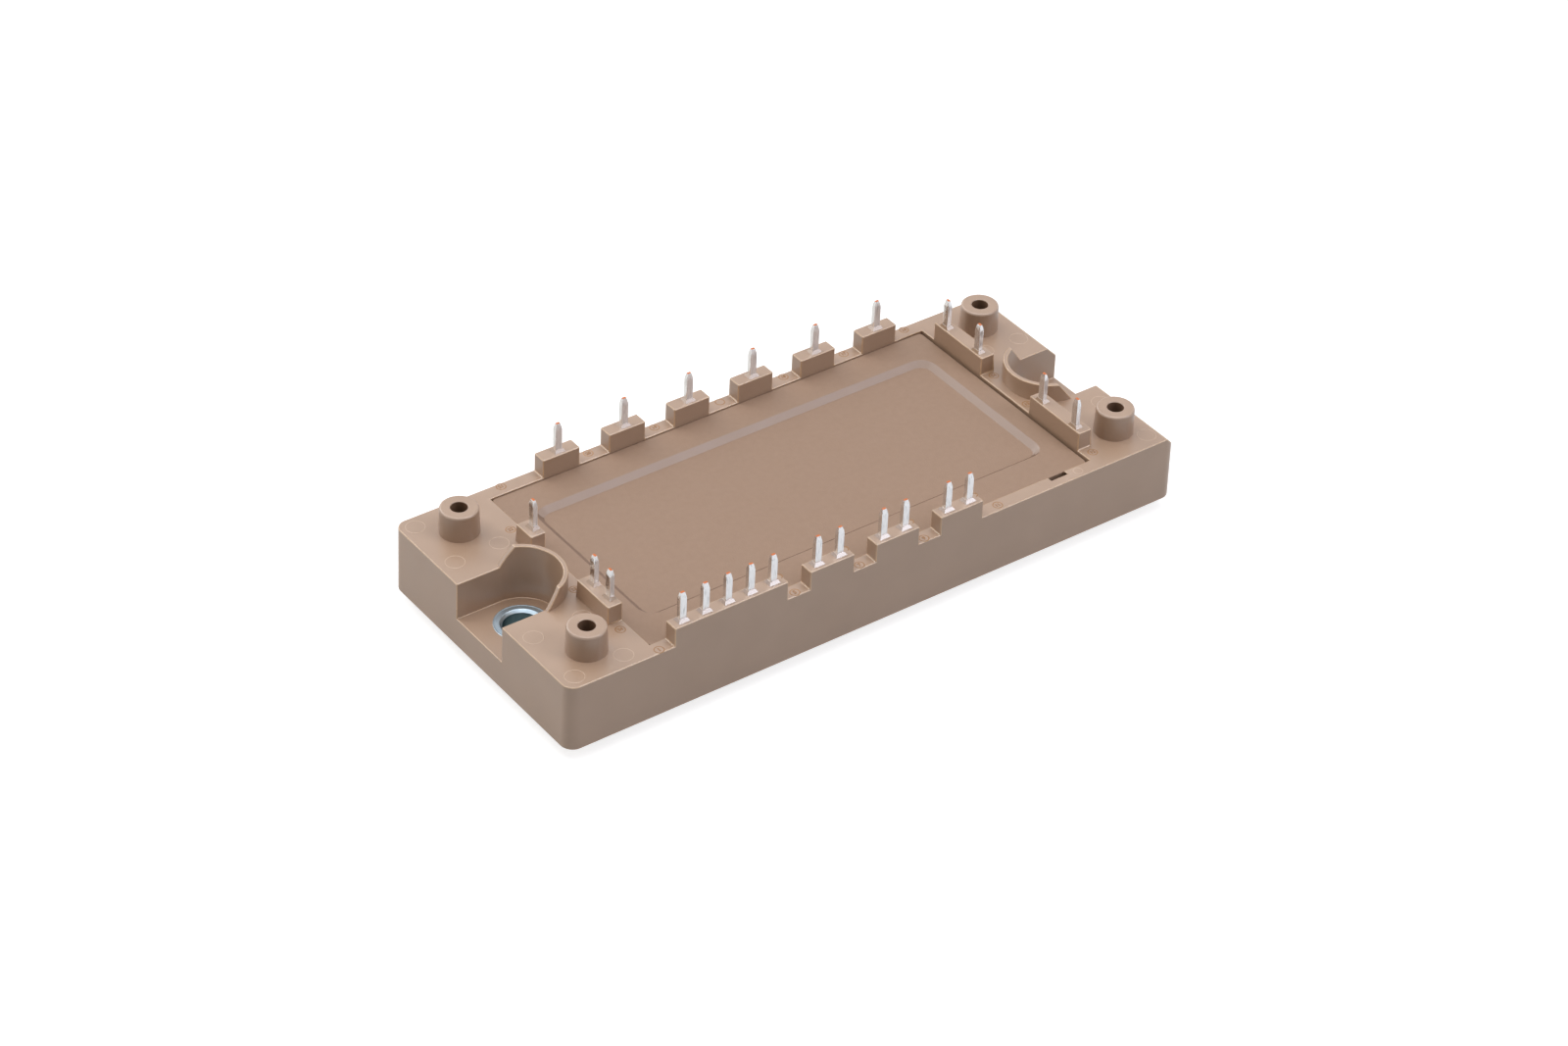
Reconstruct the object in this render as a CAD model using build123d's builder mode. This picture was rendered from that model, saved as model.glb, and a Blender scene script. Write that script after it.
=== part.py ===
"""Three-phase IGBT power module in a flat moulded frame with 24 solder pins.

All sizes are in millimetres. The origin is the middle of the base plate's underside, +Z points up
and X runs along the module's length.
"""

import os
from math import atan, degrees

from build123d import *

# Pins: flat strip on a 3.81 grid, set in four rows round the lid. A block of the housing carries
# each inner tuple of grid steps.
pin_grid = 3.81
pin_row_spacing = 41.91
pin_column_spacing = 79.2
front_pin_blocks = [(-9, -8, -7, -6, -5), (-3, -2), (0, 1), (3, 4)]
back_pin_blocks = [(-7,), (-4,), (-1,), (2,), (5,), (8,)]
left_pin_blocks = [(2,), (-2, -3)]
right_pin_blocks = [(4, 2), (-2, -4)]
pin_width = 1.15
pin_thickness = 0.8
pin_tip_length = 1.1
pin_tip_narrowing = 0.2
pin_above_flange = 7.8

# Screws that hold the module to its heat sink, and the screws of the circuit board above it
mounting_spacing = 93.0
mounting_bore = 5.5
standoff_spacing_x = 93.0
standoff_spacing_y = 32.0

# Housing frame, measured outwards from the pins and the mounting screws
row_to_side_face = 1.495
mounting_to_end_face = 7.2
housing_corner_radius = 2.0
wall_draft = 1.0
flange_height = 10.7
pin_block_height = 3.0
block_end_cover = 1.9
back_block_end_cover = 3.15
side_block_depth = 2.4
pad_flare = 0.35
pad_top_margin = 0.05
pad_height = 0.45
right_end_chamfer = 2.05

# Screw notches in both ends
notch_radius = 5.7
notch_floor_height = 4.7
notch_rim_wall = 0.7
notch_rim_ramp = 2.3
collar_diameter = 8.1
collar_bore_chamfer = 0.4
collar_edge_chamfer = 0.15

# Standoffs
standoff_diameter = 5.95
standoff_height = 4.15
standoff_narrowing = 0.12
standoff_edge_chamfer = 0.2
standoff_hole = 2.5
standoff_hole_depth = 10.0

# Lid and the recess that holds it
row_to_recess = 1.055
column_to_recess = 0.8
lid_clearance_left = 0.08
lid_clearance_right = 0.42
lid_clearance_y = 0.08
lid_corner_radius = 0.6
lid_thickness = 1.6
lid_below_flange = 0.25
lid_ledge = 1.0
panel_length = 70.65
panel_width = 29.0
panel_corner_radius = 2.4
panel_depth = 0.8
panel_bevel = 0.95
pry_slot_centre_x = 32.5
pry_slot_length = 3.0
pry_slot_width = 0.85

# Base plate
base_plate_thickness = 3.0
base_plate_proud = 2.1
base_plate_past_screw = 4.5
base_plate_width = 38.6
base_plate_corner_radius = 2.0
base_plate_edge_chamfer = 0.3
base_plate_clearance = 0.15

# Inside: pin feet on a shelf, substrates, chips, bond wires and gel
shelf_height = 2.5
shelf_width = 1.5
foot_setback = 0.2
substrate_side_clearance = 0.9
substrate_split_x = 1.905
substrate_gap = 1.0
substrate_to_wall = 0.7
ceramic_thickness = 0.4
copper_thickness = 0.3
copper_margin = 0.6
island_gap = 0.8
igbt_size = 6.5
diode_length = 5.0
diode_width = 3.4
rectifier_size = 5.0
chip_thickness = 0.2
chip_edge_margin = 0.3
chip_gap = 0.8
low_chip_setback = 1.45
thermistor_length = 3.2
thermistor_width = 1.6
thermistor_height = 0.8
wire_width = 0.4
wire_thickness = 0.3
wire_foot = 0.3
wire_rise = 1.0
wire_pair_spacing = 2.0
wire_landing = 0.7
gel_depth = 6.2

# Derived overall sizes and levels
housing_length = mounting_spacing + 2 * mounting_to_end_face
housing_width = pin_row_spacing + 2 * row_to_side_face
housing_bottom = base_plate_proud
flange_top = housing_bottom + flange_height
block_top = flange_top + pin_block_height
pin_tip = flange_top + pin_above_flange
notch_floor = housing_bottom + notch_floor_height
recess_length = pin_column_spacing - 2 * column_to_recess
recess_width = pin_row_spacing - 2 * row_to_recess
lid_length = recess_length - lid_clearance_left - lid_clearance_right
lid_width = recess_width - 2 * lid_clearance_y
lid_middle = ((lid_clearance_left - lid_clearance_right) / 2, 0)
lid_seat = flange_top - lid_below_flange - lid_thickness
well_length = recess_length - 2 * lid_ledge
well_width = recess_width - 2 * lid_ledge
shelf_top = base_plate_thickness + shelf_height
foot_top = shelf_top + pin_thickness
bay_length = well_length - 2 * shelf_width
bay_width = well_width - 2 * shelf_width
substrate_width = bay_width - 2 * substrate_side_clearance
ceramic_bottom = base_plate_thickness + copper_thickness
circuit_bottom = ceramic_bottom + ceramic_thickness
circuit_top = circuit_bottom + copper_thickness
chip_top = circuit_top + chip_thickness
base_plate_length = mounting_spacing + 2 * base_plate_past_screw
mounting_points = [(-mounting_spacing / 2, 0), (mounting_spacing / 2, 0)]


def grid_span(steps, cover):
    """Middle and length of the block over these grid steps, with cover past its end pins."""
    first = min(steps) * pin_grid - cover
    last = max(steps) * pin_grid + cover
    return (first + last) / 2, last - first


def block_rectangles():
    """Outline of every pin block as (x, y, length along X, length along Y)."""
    rectangles = []
    row_depth = (housing_width - recess_width) / 2
    row_y = (housing_width + recess_width) / 4
    column_x = recess_length / 2 + side_block_depth / 2
    for steps in front_pin_blocks:
        middle, length = grid_span(steps, block_end_cover)
        rectangles.append((middle, -row_y, length, row_depth))
    for steps in back_pin_blocks:
        middle, length = grid_span(steps, back_block_end_cover)
        rectangles.append((middle, row_y, length, row_depth))
    for side, blocks in ((-1, left_pin_blocks), (1, right_pin_blocks)):
        for steps in blocks:
            middle, length = grid_span(steps, block_end_cover)
            rectangles.append((side * column_x, middle, side_block_depth, length))
    return rectangles


def pin_planes():
    """Upright plane of every pin, numbered from the front left corner round the module.

    The plane stands at the pin's foot: its x axis points inwards from the wall, its y axis up.
    """
    row_y = pin_row_spacing / 2
    column_x = pin_column_spacing / 2
    places = []
    for step in sorted(step for block in front_pin_blocks for step in block):
        places.append(((step * pin_grid, -row_y), (0, 1)))
    for step in sorted(step for block in right_pin_blocks for step in block):
        places.append(((column_x, step * pin_grid), (-1, 0)))
    for step in sorted((step for block in back_pin_blocks for step in block), reverse=True):
        places.append(((step * pin_grid, row_y), (0, -1)))
    for step in sorted((step for block in left_pin_blocks for step in block), reverse=True):
        places.append(((-column_x, step * pin_grid), (1, 0)))
    planes = []
    for (x, y), (inward_x, inward_y) in places:
        planes.append(
            Plane(
                origin=(x, y, shelf_top),
                x_dir=(inward_x, inward_y, 0),
                z_dir=(inward_y, -inward_x, 0),
            )
        )
    return planes


def foot_reach(plane):
    """Length of a pin's foot, from the pin's middle to just short of the shelf's edge."""
    if abs(plane.x_dir.X) > 0.5:
        return pin_column_spacing / 2 - bay_length / 2 - foot_setback
    return pin_row_spacing / 2 - bay_width / 2 - foot_setback


def pin_profile(plane):
    """L-shaped profile of a pin below its tapered tip."""
    shoulder = pin_tip - pin_tip_length - shelf_top
    half = pin_thickness / 2
    with BuildSketch(plane) as profile:
        with BuildLine():
            Polyline(
                (-half, 0),
                (foot_reach(plane), 0),
                (foot_reach(plane), pin_thickness),
                (half, pin_thickness),
                (half, shoulder),
                (-half, shoulder),
                close=True,
            )
        make_face()
    return profile.sketch


all_pin_planes = pin_planes()
os.makedirs("parts", exist_ok=True)

# Solder pins: each is one bent strip, with a tip that narrows to its cut end
pins = []
for number, plane in enumerate(all_pin_planes, start=1):
    with BuildPart() as pin:
        extrude(pin_profile(plane), amount=pin_width / 2, both=True)
        shoulder_plane = Plane(
            origin=(plane.origin.X, plane.origin.Y, pin_tip - pin_tip_length),
            x_dir=plane.x_dir,
            z_dir=(0, 0, 1),
        )
        with BuildSketch(shoulder_plane):
            Rectangle(pin_thickness, pin_width)
        extrude(amount=pin_tip_length, taper=degrees(atan(pin_tip_narrowing / pin_tip_length)))
    pin.part.label = f"pin_{number:02d}"
    export_step(pin.part, f"parts/pin_{number:02d}.step")
    pins.append(pin.part)

# Housing: one moulding, drafted on its outer faces and cut down to the flange between its blocks
with BuildPart() as housing:
    with BuildSketch(Plane.XY.offset(housing_bottom)):
        RectangleRounded(housing_length, housing_width, housing_corner_radius)
    extrude(amount=flange_height + pin_block_height, taper=wall_draft)

    with BuildSketch(Plane.XY.offset(flange_top)):
        Rectangle(housing_length, housing_width)
        for x, y, length, width in block_rectangles():
            with Locations((x, y)):
                Rectangle(length, width, mode=Mode.SUBTRACT)
        with Locations(*mounting_points):
            Circle(notch_radius + notch_rim_wall, mode=Mode.SUBTRACT)
    extrude(amount=pin_block_height, mode=Mode.SUBTRACT)

    # The rim round each notch keeps its inner half and runs down to the flange in two ramps
    for side in (-1, 1):
        ramp_foot = side * mounting_spacing / 2
        ramp_head = ramp_foot - side * notch_rim_ramp
        past_end = side * housing_length / 2
        with BuildSketch(Plane.XZ):
            with BuildLine():
                Polyline(
                    (ramp_foot, flange_top),
                    (ramp_head, block_top),
                    (past_end, block_top),
                    (past_end, flange_top),
                    close=True,
                )
            make_face()
        extrude(amount=notch_radius + 2 * notch_rim_wall, both=True, mode=Mode.SUBTRACT)

    # The right end's top edge is cut off at 45 degrees
    with BuildSketch(Plane.XZ):
        with BuildLine():
            Polyline(
                (housing_length / 2 - right_end_chamfer, flange_top),
                (housing_length / 2, flange_top),
                (housing_length / 2, flange_top - right_end_chamfer),
                close=True,
            )
        make_face()
    extrude(amount=housing_width / 2, both=True, mode=Mode.SUBTRACT)

    # Four tapered standoffs with a bevelled top edge and blind screw holes
    bevel_foot = standoff_height - standoff_edge_chamfer
    with BuildSketch(Plane.XY.offset(flange_top)):
        with GridLocations(standoff_spacing_x, standoff_spacing_y, 2, 2):
            Circle(standoff_diameter / 2)
    extrude(amount=bevel_foot, taper=degrees(atan(standoff_narrowing / bevel_foot)))
    with BuildSketch(Plane.XY.offset(flange_top + bevel_foot)):
        with GridLocations(standoff_spacing_x, standoff_spacing_y, 2, 2):
            Circle(standoff_diameter / 2 - standoff_narrowing)
    extrude(amount=standoff_edge_chamfer, taper=45)
    with BuildSketch(Plane.XY.offset(flange_top + standoff_height)):
        with GridLocations(standoff_spacing_x, standoff_spacing_y, 2, 2):
            Circle(standoff_hole / 2)
    extrude(amount=-standoff_hole_depth, mode=Mode.SUBTRACT)

    # Screw notches, open to both ends, and the seats of the collars in their floors
    with BuildSketch(Plane.XY.offset(notch_floor)):
        for side in (-1, 1):
            with Locations((side * mounting_spacing / 2, 0)):
                Circle(notch_radius)
            with Locations((side * (mounting_spacing / 2 + mounting_to_end_face / 2), 0)):
                Rectangle(mounting_to_end_face, 2 * notch_radius)
    extrude(amount=block_top - notch_floor, mode=Mode.SUBTRACT)
    with BuildSketch(Plane.XY.offset(notch_floor)):
        with Locations(*mounting_points):
            Circle(collar_diameter / 2)
    extrude(amount=housing_bottom - notch_floor, mode=Mode.SUBTRACT)

    # Pocket for the base plate, bay for the substrates, well over the shelf, recess for the lid
    with BuildSketch(Plane.XY.offset(housing_bottom)):
        RectangleRounded(
            base_plate_length + 2 * base_plate_clearance,
            base_plate_width + 2 * base_plate_clearance,
            base_plate_corner_radius + base_plate_clearance,
        )
    extrude(amount=base_plate_thickness - base_plate_proud, mode=Mode.SUBTRACT)
    with BuildSketch(Plane.XY.offset(base_plate_thickness)):
        Rectangle(bay_length, bay_width)
    extrude(amount=shelf_height, mode=Mode.SUBTRACT)
    with BuildSketch(Plane.XY.offset(shelf_top)):
        Rectangle(well_length, well_width)
    extrude(amount=lid_seat - shelf_top, mode=Mode.SUBTRACT)
    with BuildSketch(Plane.XY.offset(lid_seat)):
        Rectangle(recess_length, recess_width)
        with Locations((pry_slot_centre_x, -recess_width / 2)):
            Rectangle(pry_slot_length, 2 * pry_slot_width)
    extrude(amount=flange_top - lid_seat, mode=Mode.SUBTRACT)

    # A small flared pad stands round every pin where it leaves its block
    with BuildSketch(Plane.XY.offset(block_top)):
        for plane in all_pin_planes:
            with Locations((plane.origin.X, plane.origin.Y)):
                Rectangle(
                    pin_thickness + 2 * pad_flare,
                    pin_width + 2 * pad_flare,
                    rotation=plane.x_dir.get_signed_angle(Vector(1, 0, 0)),
                )
    extrude(amount=pad_height, taper=degrees(atan((pad_flare - pad_top_margin) / pad_height)))
    add(pins, mode=Mode.SUBTRACT)
housing.part.label = "housing"
export_step(housing.part, "parts/housing.step")

# Lid: a plate formed with a sunken middle panel, pushed against the left end of the recess
with BuildPart() as lid:
    with BuildSketch(Plane.XY.offset(lid_seat)):
        with Locations(lid_middle):
            RectangleRounded(lid_length, lid_width, lid_corner_radius)
    extrude(amount=lid_thickness)
    panel_taper = degrees(atan(panel_bevel / panel_depth))
    with BuildSketch(Plane.XY.offset(lid_seat)):
        with Locations(lid_middle):
            RectangleRounded(panel_length, panel_width, panel_corner_radius)
    extrude(amount=-panel_depth, taper=panel_taper)
    with BuildSketch(Plane.XY.offset(lid_seat + lid_thickness)):
        with Locations(lid_middle):
            RectangleRounded(panel_length, panel_width, panel_corner_radius)
    extrude(amount=-panel_depth, taper=panel_taper, mode=Mode.SUBTRACT)
lid.part.label = "lid"
export_step(lid.part, "parts/lid.step")

# Base plate: nickel-plated copper, with a hole under each collar
with BuildPart() as base_plate:
    with BuildSketch(Plane.XY):
        RectangleRounded(base_plate_length, base_plate_width, base_plate_corner_radius)
        with Locations(*mounting_points):
            Circle(mounting_bore / 2, mode=Mode.SUBTRACT)
    extrude(amount=base_plate_thickness)
    plate_underside = base_plate.faces().sort_by(Axis.Z)[0]
    chamfer(plate_underside.outer_wire().edges(), length=base_plate_edge_chamfer)
base_plate.part.label = "base_plate"
export_step(base_plate.part, "parts/base_plate.step")

# Mounting collars: steel bushes between the screw head and the base plate
for name, point in zip(("mounting_collar_left", "mounting_collar_right"), mounting_points):
    with BuildPart() as collar:
        with BuildSketch(Plane.XY.offset(base_plate_thickness)):
            with Locations(point):
                Circle(collar_diameter / 2)
                Circle(mounting_bore / 2, mode=Mode.SUBTRACT)
        extrude(amount=notch_floor - base_plate_thickness)
        rim_edges = collar.edges().filter_by(GeomType.CIRCLE).group_by(Axis.Z)[-1]
        rim_edges = rim_edges.sort_by(SortBy.RADIUS)
        chamfer(rim_edges[0], length=collar_bore_chamfer)
        chamfer(rim_edges[-1], length=collar_edge_chamfer)
    collar.part.label = name
    export_step(collar.part, f"parts/{name}.step")

# Substrates: a ceramic tile with a copper sheet below and copper islands on top.
# Each island is (x, y, length, width) from the middle of its tile.
left_start = -bay_length / 2 + substrate_to_wall
left_end = substrate_split_x - substrate_gap / 2
right_start = substrate_split_x + substrate_gap / 2
right_end = bay_length / 2 - substrate_to_wall
left_length = left_end - left_start
right_length = right_end - right_start
left_middle = (left_start + left_end) / 2
right_middle = (right_start + right_end) / 2
copper_width = substrate_width - 2 * copper_margin


def share_length(length, count):
    """Middles and width of count islands side by side on a tile of this length."""
    usable = length - 2 * copper_margin
    island = (usable - (count - 1) * island_gap) / count
    pitch = island + island_gap
    return [(index - (count - 1) / 2) * pitch for index in range(count)], island


def rows_from_back(widths):
    """Middle of each row of islands, stacked from the back edge of the copper to the front."""
    middles = []
    edge = copper_width / 2
    for width in widths:
        middles.append(edge - width / 2)
        edge -= width + island_gap
    return middles


# Left tile, from the back: plus rail, three inputs and the brake, minus rail, control strip
input_columns, input_length = share_length(left_length, 4)
plus_width_left = chip_edge_margin + rectifier_size + 2 * wire_landing
minus_width_left = 6.6
strip_width = 3.2
input_width = copper_width - plus_width_left - minus_width_left - strip_width - 3 * island_gap
left_rows = rows_from_back([plus_width_left, input_width, minus_width_left, strip_width])
plus_y_left, input_y, minus_y_left, strip_y = left_rows
left_copper_length = left_length - 2 * copper_margin
strip_gate_end = 3.4
strip_sensor_split = 13.0
strip_ends = [-left_copper_length / 2, strip_gate_end, strip_sensor_split, left_copper_length / 2]
left_islands = [(0, plus_y_left, left_copper_length, plus_width_left)]
left_islands += [(x, input_y, input_length, input_width) for x in input_columns]
left_islands.append((0, minus_y_left, left_copper_length, minus_width_left))
for index in range(3):
    start = strip_ends[index] + (island_gap / 2 if index > 0 else 0)
    end = strip_ends[index + 1] - (island_gap / 2 if index < 2 else 0)
    left_islands.append(((start + end) / 2, strip_y, end - start, strip_width))

# Right tile, from the back: plus rail, three phases, minus rail. A switch and its diode lie on
# each of the first two, one behind the other, with room for the wires behind them.
phase_columns, phase_length = share_length(right_length, 3)
pair_width = chip_edge_margin + igbt_size + chip_gap + diode_width + 2 * wire_landing
plus_width_right = pair_width
phase_width = pair_width
minus_width_right = copper_width - plus_width_right - phase_width - 2 * island_gap
right_rows = rows_from_back([plus_width_right, phase_width, minus_width_right])
plus_y_right, phase_y, minus_y_right = right_rows
right_copper_length = right_length - 2 * copper_margin
right_islands = [(0, plus_y_right, right_copper_length, plus_width_right)]
right_islands += [(x, phase_y, phase_length, phase_width) for x in phase_columns]
right_islands.append((0, minus_y_right, right_copper_length, minus_width_right))

inside_gel = []
for side, middle, length, islands in (
    ("left", left_middle, left_length, left_islands),
    ("right", right_middle, right_length, right_islands),
):
    with BuildPart() as bottom_copper:
        with BuildSketch(Plane.XY.offset(base_plate_thickness)):
            with Locations((middle, 0)):
                Rectangle(length - 2 * copper_margin, copper_width)
        extrude(amount=copper_thickness)
    with BuildPart() as ceramic:
        with BuildSketch(Plane.XY.offset(ceramic_bottom)):
            with Locations((middle, 0)):
                Rectangle(length, substrate_width)
        extrude(amount=ceramic_thickness)
    with BuildPart() as circuit_copper:
        with BuildSketch(Plane.XY.offset(circuit_bottom)):
            for x, y, island_length, island_width in islands:
                with Locations((middle + x, y)):
                    Rectangle(island_length, island_width)
        extrude(amount=copper_thickness)
    for piece, name in (
        (bottom_copper, f"substrate_bottom_copper_{side}"),
        (ceramic, f"substrate_ceramic_{side}"),
        (circuit_copper, f"substrate_circuit_{side}"),
    ):
        piece.part.label = name
        export_step(piece.part, f"parts/{name}.step")
        inside_gel.append(piece.part)

# Chips: (name, x, y, length, width), soldered flat on the circuit copper
high_igbt_y = plus_y_right - plus_width_right / 2 + chip_edge_margin + igbt_size / 2
high_diode_y = high_igbt_y + igbt_size / 2 + chip_gap + diode_width / 2
low_igbt_y = phase_y - phase_width / 2 + chip_edge_margin + igbt_size / 2
low_diode_y = low_igbt_y + igbt_size / 2 + chip_gap + diode_width / 2
rectifier_high_y = plus_y_left - plus_width_left / 2 + chip_edge_margin + rectifier_size / 2
rectifier_low_y = input_y - low_chip_setback
chips = []
for phase, x in zip("uvw", phase_columns):
    chips.append((f"igbt_high_{phase}", right_middle + x, high_igbt_y, igbt_size, igbt_size))
    chips.append((f"igbt_low_{phase}", right_middle + x, low_igbt_y, igbt_size, igbt_size))
    chips.append((f"diode_high_{phase}", right_middle + x, high_diode_y, diode_length, diode_width))
    chips.append((f"diode_low_{phase}", right_middle + x, low_diode_y, diode_length, diode_width))
for number, x in enumerate(input_columns[:3], start=1):
    place = left_middle + x
    chips.append((f"rectifier_high_{number}", place, rectifier_high_y, rectifier_size, rectifier_size))
    chips.append((f"rectifier_low_{number}", place, rectifier_low_y, rectifier_size, rectifier_size))
brake_x = left_middle + input_columns[3]
chips.append(("igbt_brake", brake_x, rectifier_low_y, igbt_size, igbt_size))
chips.append(("diode_brake", brake_x, rectifier_high_y, diode_length, diode_width))

for name, x, y, length, width in chips:
    with BuildPart() as chip:
        with BuildSketch(Plane.XY.offset(circuit_top)):
            with Locations((x, y)):
                Rectangle(length, width)
        extrude(amount=chip_thickness)
    chip.part.label = name
    export_step(chip.part, f"parts/{name}.step")
    inside_gel.append(chip.part)

# Thermistor: bridges the gap between two islands of the control strip
with BuildPart() as thermistor:
    with BuildSketch(Plane.XY.offset(circuit_top)):
        with Locations((left_middle + strip_sensor_split, strip_y)):
            Rectangle(thermistor_length, thermistor_width)
    extrude(amount=thermistor_height)
thermistor.part.label = "temperature_sensor"
export_step(thermistor.part, "parts/temperature_sensor.step")
inside_gel.append(thermistor.part)


def wire_profile(x, y, start_z, inward, end_z, span):
    """Face along one side of a bond wire from (x, y) towards inward: two feet and an arch."""
    crown = max(start_z, end_z) + wire_rise
    quarter = span / 4
    plane = Plane(origin=(x, y, 0), x_dir=(*inward, 0), z_dir=(inward[1], -inward[0], 0))
    plane = plane.offset(-wire_width / 2)
    with BuildSketch(plane) as profile:
        with BuildLine():
            Polyline(
                (-wire_foot, start_z),
                (wire_foot, start_z),
                (quarter + wire_foot, crown - wire_thickness),
                (span - quarter - wire_foot, crown - wire_thickness),
                (span - wire_foot, end_z),
                (span + wire_foot, end_z),
                (span - quarter, crown),
                (quarter, crown),
                close=True,
            )
        make_face()
    return profile.sketch.faces()[0]


# Bond wires between chips and islands: (x, start y, start z, end y, end z), in pairs
hops = []
for x in phase_columns:
    place = right_middle + x
    to_phase = phase_y + phase_width / 2 - wire_landing
    to_minus = minus_y_right + minus_width_right / 2 - 2 * wire_landing
    hops.append((place, high_diode_y, chip_top, high_igbt_y + igbt_size / 4, chip_top))
    hops.append((place, high_igbt_y - igbt_size / 4, chip_top, to_phase, circuit_top))
    hops.append((place, low_diode_y, chip_top, low_igbt_y + igbt_size / 4, chip_top))
    hops.append((place, low_igbt_y - igbt_size / 4, chip_top, to_minus, circuit_top))
for x in input_columns:
    place = left_middle + x
    to_input = input_y + input_width / 2 - 2 * wire_landing
    to_minus = minus_y_left + minus_width_left / 2 - 2 * wire_landing
    hops.append((place, rectifier_high_y, chip_top, to_input, circuit_top))
    hops.append((place, rectifier_low_y, chip_top, to_minus, circuit_top))

with BuildPart() as chip_wires:
    profiles = []
    for x, start_y, start_z, end_y, end_z in hops:
        for offset in (-wire_pair_spacing / 2, wire_pair_spacing / 2):
            span = start_y - end_y
            profiles.append(wire_profile(x + offset, start_y, start_z, (0, -1), end_z, span))
    extrude(profiles, amount=wire_width)
chip_wires.part.label = "chip_bond_wires"
export_step(chip_wires.part, "parts/chip_bond_wires.step")
inside_gel.append(chip_wires.part)

# Bond wires from the pin feet down to the nearest island
with BuildPart() as pin_wires:
    profiles = []
    for plane in all_pin_planes:
        inward = (plane.x_dir.X, plane.x_dir.Y)
        reach = foot_reach(plane)
        landing = substrate_to_wall if abs(inward[0]) > 0.5 else substrate_side_clearance
        span = foot_setback + wire_foot + landing + copper_margin + wire_landing
        start_x = plane.origin.X + inward[0] * (reach - wire_foot)
        start_y = plane.origin.Y + inward[1] * (reach - wire_foot)
        profiles.append(wire_profile(start_x, start_y, foot_top, inward, circuit_top, span))
    extrude(profiles, amount=wire_width)
pin_wires.part.label = "pin_bond_wires"
export_step(pin_wires.part, "parts/pin_bond_wires.step")
inside_gel.append(pin_wires.part)

# Silicone gel: fills the bay and the well round everything in them, up to its level
gel_top = base_plate_thickness + gel_depth
with BuildPart() as silicone_gel:
    with BuildSketch(Plane.XY.offset(base_plate_thickness)):
        Rectangle(bay_length, bay_width)
    extrude(amount=shelf_height)
    with BuildSketch(Plane.XY.offset(shelf_top)):
        Rectangle(well_length, well_width)
    extrude(amount=gel_top - shelf_top)
    add(inside_gel + pins, mode=Mode.SUBTRACT)
silicone_gel.part.label = "silicone_gel"
export_step(silicone_gel.part, "parts/silicone_gel.step")
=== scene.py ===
"""Studio picture of a flat moulded power module with 24 solder pins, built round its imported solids.

Metres throughout. +Z points up, X runs along the module, and the long pin row faces -Y.
"""

from math import cos, pi, radians, sin

import bmesh
import bpy
from mathutils import Matrix, Vector


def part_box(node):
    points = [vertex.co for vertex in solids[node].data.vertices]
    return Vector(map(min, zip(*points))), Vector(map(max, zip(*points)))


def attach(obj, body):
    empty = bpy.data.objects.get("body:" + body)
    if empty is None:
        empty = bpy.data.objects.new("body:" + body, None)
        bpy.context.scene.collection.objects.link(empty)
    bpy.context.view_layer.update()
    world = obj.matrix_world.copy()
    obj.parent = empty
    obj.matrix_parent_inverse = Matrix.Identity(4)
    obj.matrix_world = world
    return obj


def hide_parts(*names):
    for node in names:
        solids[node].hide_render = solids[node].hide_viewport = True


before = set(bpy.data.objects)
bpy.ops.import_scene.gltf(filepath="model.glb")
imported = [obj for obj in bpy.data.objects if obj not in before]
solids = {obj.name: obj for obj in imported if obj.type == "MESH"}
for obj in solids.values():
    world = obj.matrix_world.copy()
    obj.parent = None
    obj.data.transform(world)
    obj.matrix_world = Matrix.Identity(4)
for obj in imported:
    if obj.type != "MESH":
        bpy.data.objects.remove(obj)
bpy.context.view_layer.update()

# BASE PLATE
# A 3 mm copper plate, nickel-plated and rolled along its length. It closes the module's underside
# and carries its heat to the heat sink.

# Nearly all of a noise lies between these two levels.
noise_low = 0.3
noise_high = 0.7


def new_finish(name, base_colour, roughness, metallic=0.0):
    """A new material with one principled shader, and that shader."""
    finish = bpy.data.materials.new(name)
    finish.use_nodes = True
    tree = finish.node_tree
    tree.nodes.clear()
    output = tree.nodes.new("ShaderNodeOutputMaterial")
    shader = tree.nodes.new("ShaderNodeBsdfPrincipled")
    shader.inputs["Base Color"].default_value = (*base_colour, 1)
    shader.inputs["Roughness"].default_value = roughness
    shader.inputs["Metallic"].default_value = metallic
    tree.links.new(shader.outputs["BSDF"], output.inputs["Surface"])
    return finish, shader


def add_noise(finish, size, stretch=(1, 1, 1), detail=3.0):
    """Noise from 0 to 1 with spots of about this size in metres, drawn out by stretch."""
    tree = finish.node_tree
    place = tree.nodes.new("ShaderNodeTexCoord")
    scale = tree.nodes.new("ShaderNodeMapping")
    scale.inputs["Scale"].default_value = [1 / (size * factor) for factor in stretch]
    noise = tree.nodes.new("ShaderNodeTexNoise")
    noise.inputs["Scale"].default_value = 1.0
    noise.inputs["Detail"].default_value = detail
    tree.links.new(place.outputs["Object"], scale.inputs["Vector"])
    tree.links.new(scale.outputs["Vector"], noise.inputs["Vector"])
    return noise.outputs["Fac"]


def vary_roughness(finish, shader, noise, low, high):
    """Lets the roughness run from low to high with the noise."""
    tree = finish.node_tree
    spread = tree.nodes.new("ShaderNodeMapRange")
    spread.inputs["From Min"].default_value = noise_low
    spread.inputs["From Max"].default_value = noise_high
    spread.inputs["To Min"].default_value = low
    spread.inputs["To Max"].default_value = high
    tree.links.new(noise, spread.inputs["Value"])
    tree.links.new(spread.outputs["Result"], shader.inputs["Roughness"])


def roughen(finish, shader, noise, depth):
    """Raises the surface by up to depth metres with the noise."""
    tree = finish.node_tree
    bump = tree.nodes.new("ShaderNodeBump")
    bump.inputs["Distance"].default_value = depth
    tree.links.new(noise, bump.inputs["Height"])
    tree.links.new(bump.outputs["Normal"], shader.inputs["Normal"])


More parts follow.
